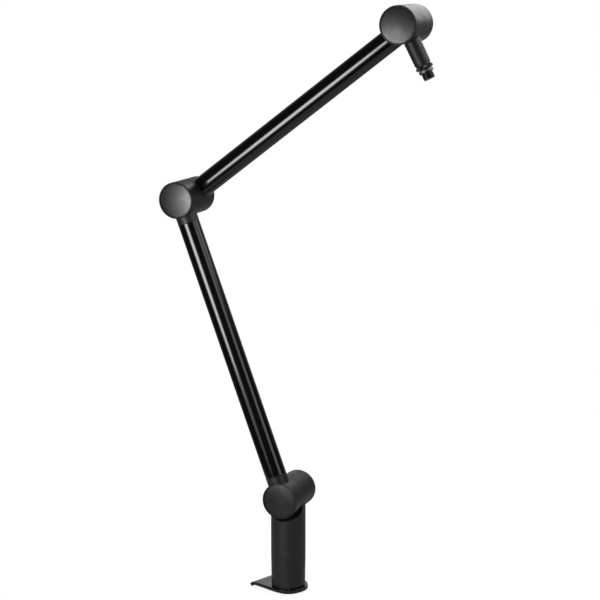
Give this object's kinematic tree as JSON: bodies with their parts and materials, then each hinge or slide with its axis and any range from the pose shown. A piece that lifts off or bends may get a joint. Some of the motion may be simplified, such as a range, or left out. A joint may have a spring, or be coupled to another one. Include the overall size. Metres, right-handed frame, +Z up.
{
  "type": "microphone boom arm",
  "caption": "Desk-mounted microphone boom arm: round tubes joined by barrel hinges, on a swivelling column with a lipped base plate, ending in a threaded spigot.",
  "frame": {"origin": "on the column's axis, in the plane of the base pad's underside, where the desk is", "axes": "+Z up along the column; the three hinge axes lie along Y; the upper arm's head lies towards +X"},
  "size_m": [0.3873, 0.083, 0.8205],
  "materials": {
    "black_anodised": "satin black anodised aluminium, finely bead-blasted",
    "gloss_black": "polished aluminium tube with a gloss black coat",
    "coated_steel": "satin black powder coat on steel plate",
    "black_cap": "satin black moulded plastic",
    "black_oxide": "black oxide steel",
    "steel": "dark phosphated steel",
    "spring_steel": "oiled spring steel",
    "bronze": "sintered bronze",
    "black_polymer": "low-wear acetal",
    "rubber": "matt black rubber sheet"
  },
  "bodies": {
    "base": {"base_plate": "coated_steel", "base_pad": "rubber", "plate_screws": "steel", "column_base": "black_anodised", "swivel_spindle": "steel", "swivel_disc_springs": "spring_steel", "swivel_lock_nut": "steel", "swivel_thrust_washer": "black_polymer"},
    "column": {"column_sleeve": "black_anodised", "column_screws": "steel", "swivel_lower_bush": "bronze", "swivel_upper_bush": "bronze", "shoulder_rear_drum": "black_anodised", "shoulder_rear_cap": "black_cap", "shoulder_axle": "steel", "shoulder_lock_nut": "steel", "shoulder_disc_springs": "spring_steel", "shoulder_spring": "spring_steel"},
    "lower_arm": {"shoulder_front_drum": "black_anodised", "shoulder_front_cap": "black_cap", "shoulder_bush": "bronze", "shoulder_friction_ring": "black_polymer", "lower_tube": "gloss_black", "lower_tube_screws": "steel", "elbow_front_drum": "black_anodised", "elbow_front_cap": "black_cap", "elbow_bush": "bronze", "elbow_friction_ring": "black_polymer"},
    "upper_arm": {"elbow_rear_drum": "black_anodised", "elbow_rear_cap": "black_cap", "elbow_axle": "steel", "elbow_lock_nut": "steel", "elbow_disc_springs": "spring_steel", "elbow_spring": "spring_steel", "upper_tube": "gloss_black", "upper_tube_screws": "steel", "head_rear_drum": "black_anodised", "head_rear_cap": "black_cap", "head_bush": "bronze", "head_friction_ring": "black_polymer"},
    "head": {"head_front_drum": "black_anodised", "head_front_cap": "black_cap", "head_axle": "steel", "head_lock_nut": "steel", "head_disc_springs": "spring_steel", "mic_spigot": "black_anodised", "thread_stud": "black_oxide", "thread_washer": "steel"},
    "lock_ring": {"lock_ring": "black_oxide"}
  },
  "joints": [
    {"name": "column_swivel", "type": "hinge", "parent": "base", "child": "column", "pos_m": [0, 0, 0.0553], "axis": [0, 0, 1], "continuous": true},
    {"name": "shoulder", "type": "hinge", "parent": "column", "child": "lower_arm", "pos_m": [0, 0, 0.1395], "axis": [0, 1, 0], "range_deg": [-50, 75], "deforming": ["shoulder_spring"]},
    {"name": "elbow", "type": "hinge", "parent": "lower_arm", "child": "upper_arm", "pos_m": [-0.15301, 0, 0.55204], "axis": [0, 1, 0], "range_deg": [-70, 86], "deforming": ["elbow_spring"]},
    {"name": "head_tilt", "type": "hinge", "parent": "upper_arm", "child": "head", "pos_m": [0.16683, 0, 0.79507], "axis": [0, 1, 0], "range_deg": [-170, 55]},
    {"name": "lock_ring_turn", "type": "hinge", "parent": "head", "child": "lock_ring", "pos_m": [0.19473, -0.0104, 0.7406], "axis": [0.4559, 0, -0.8901], "range_deg": [0, 540]}
  ]
}
